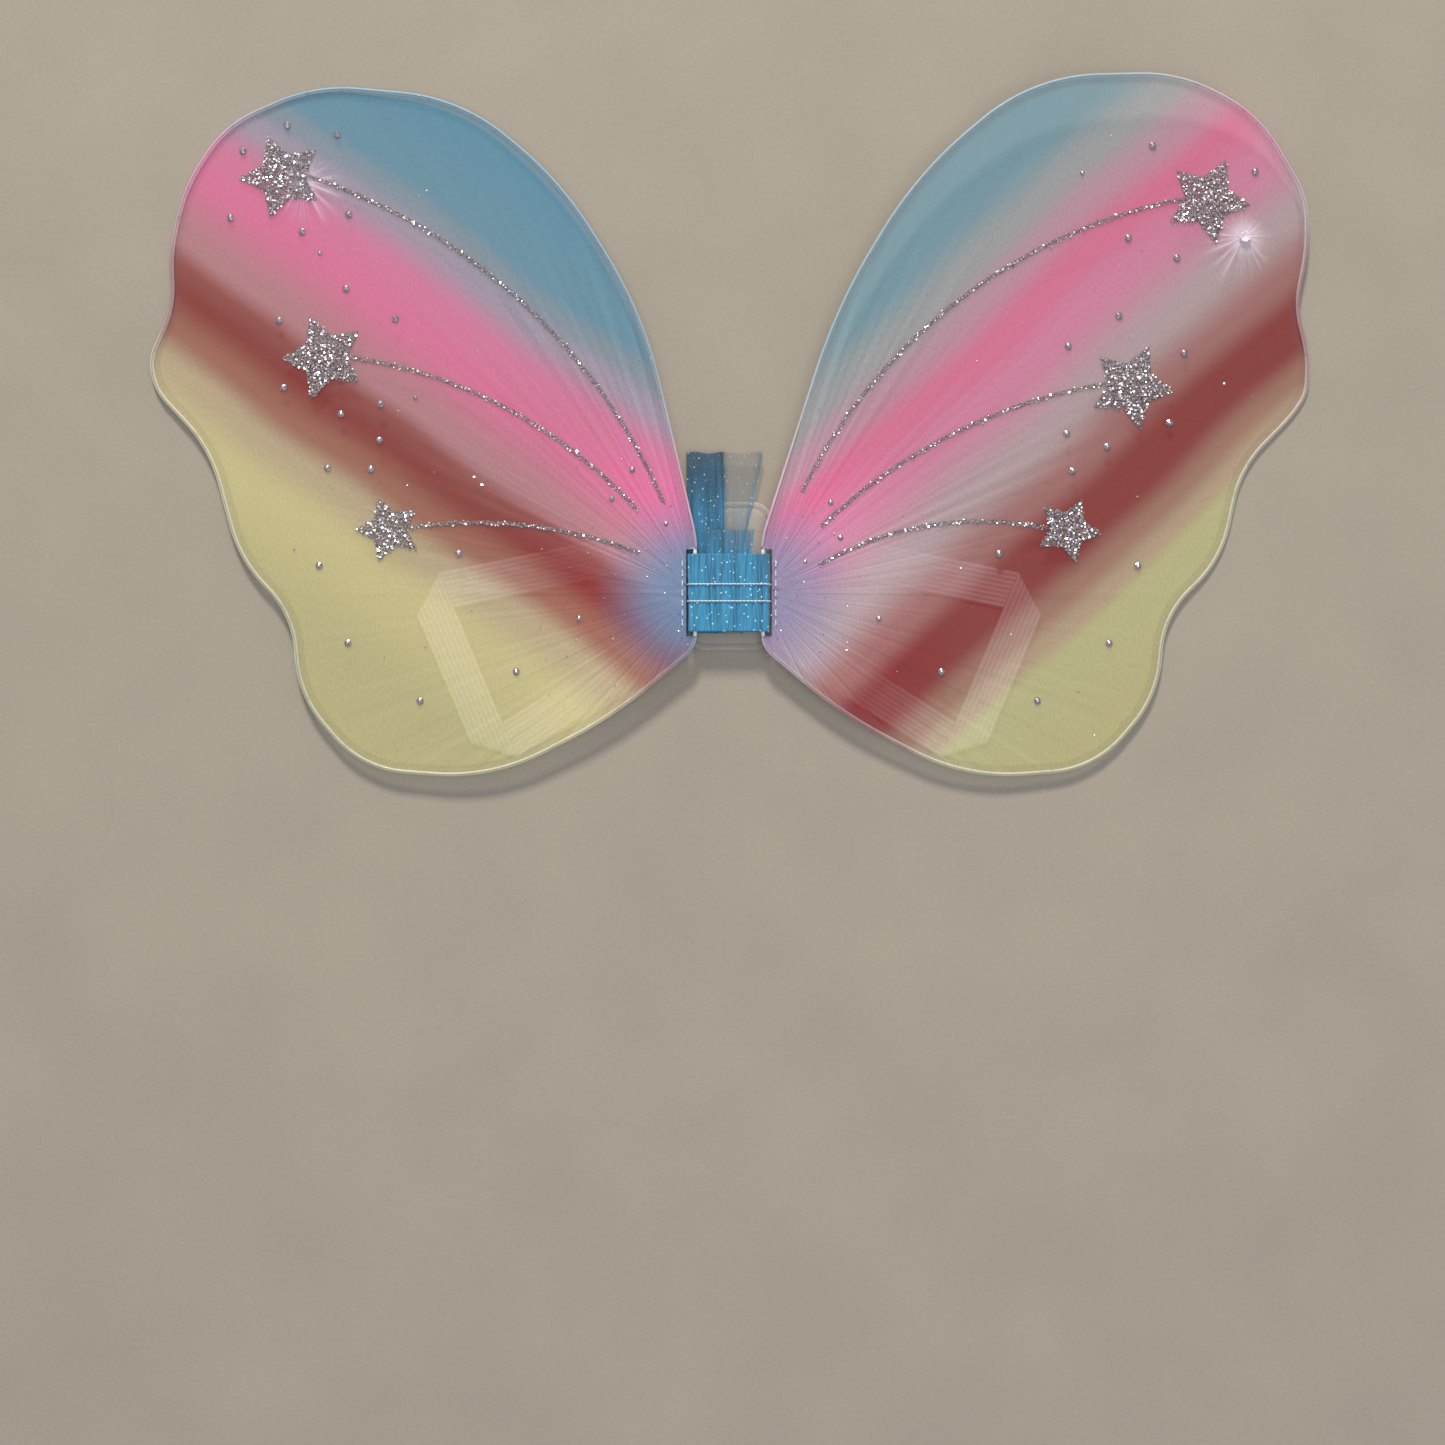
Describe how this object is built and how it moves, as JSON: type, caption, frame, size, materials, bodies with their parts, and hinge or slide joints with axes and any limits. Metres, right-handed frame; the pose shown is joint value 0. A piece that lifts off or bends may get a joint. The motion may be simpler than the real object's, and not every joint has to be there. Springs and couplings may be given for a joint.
{
  "type": "fairy wings",
  "caption": "Pair of child's fairy wings: dyed nylon over scalloped wire loops, silver glitter stars and trails, gems, wrapped centre and elastic arm loops.",
  "frame": {"origin": "middle of the back pad's face, the side that lies against the wearer's back or on a table", "axes": "+X across the span, +Y up the wings, +Z out from the back towards the decorated face"},
  "size_m": [0.4823, 0.2895, 0.0135],
  "materials": {
    "spring_wire": "drawn spring wire under nylon",
    "crimp_metal": "pressed",
    "dyed_nylon": "sheer knit, dyed in blue, pink, red and yellow bands",
    "sewing_thread": "spun polyester",
    "silver_glitter": "metallised flake in clear glue",
    "rhinestone": "faceted clear acrylic with a mirrored back",
    "wire_sleeve": "soft tube",
    "stiffener_card": "cut sheet",
    "glitter_wrap": "gathered cyan nylon with fine glitter",
    "felt_pad": "needled felt",
    "elastic": "knitted elastic tape"
  },
  "bodies": {
    "centre": {"left_wire_sleeves": "wire_sleeve", "right_wire_sleeves": "wire_sleeve", "centre_stiffener": "stiffener_card", "centre_wrap": "glitter_wrap", "wrap_lashing": "sewing_thread", "back_pad": "felt_pad", "wrap_tail": "glitter_wrap"},
    "left_wing": {"left_wing_wire": "spring_wire", "left_wire_crimp": "crimp_metal", "left_wing_cover": "dyed_nylon", "left_cover_knot": "dyed_nylon", "left_knot_thread": "sewing_thread", "left_root_stitches": "sewing_thread", "left_glitter_stars": "silver_glitter", "left_glitter_trails": "silver_glitter", "left_rhinestones": "rhinestone"},
    "right_wing": {"right_wing_wire": "spring_wire", "right_wire_crimp": "crimp_metal", "right_wing_cover": "dyed_nylon", "right_cover_knot": "dyed_nylon", "right_knot_thread": "sewing_thread", "right_root_stitches": "sewing_thread", "right_glitter_stars": "silver_glitter", "right_glitter_trails": "silver_glitter", "right_rhinestones": "rhinestone"},
    "left_strap": {"left_shoulder_strap": "elastic"},
    "right_strap": {"right_shoulder_strap": "elastic"}
  },
  "joints": [
    {"name": "left_wing_fold", "type": "hinge", "parent": "centre", "child": "left_wing", "pos_m": [-0.014, -0.0075, 0.00849], "axis": [0, 1, 0], "range_deg": [0, 90]},
    {"name": "right_wing_fold", "type": "hinge", "parent": "centre", "child": "right_wing", "pos_m": [0.014, -0.0075, 0.00849], "axis": [0, -1, 0], "range_deg": [0, 90]},
    {"name": "left_strap_swing", "type": "hinge", "parent": "centre", "child": "left_strap", "pos_m": [-0.01895, -0.0075, 0], "axis": [0, -1, 0], "range_deg": [0, 85]},
    {"name": "right_strap_swing", "type": "hinge", "parent": "centre", "child": "right_strap", "pos_m": [0.01895, -0.0075, 0], "axis": [0, 1, 0], "range_deg": [0, 85]}
  ]
}
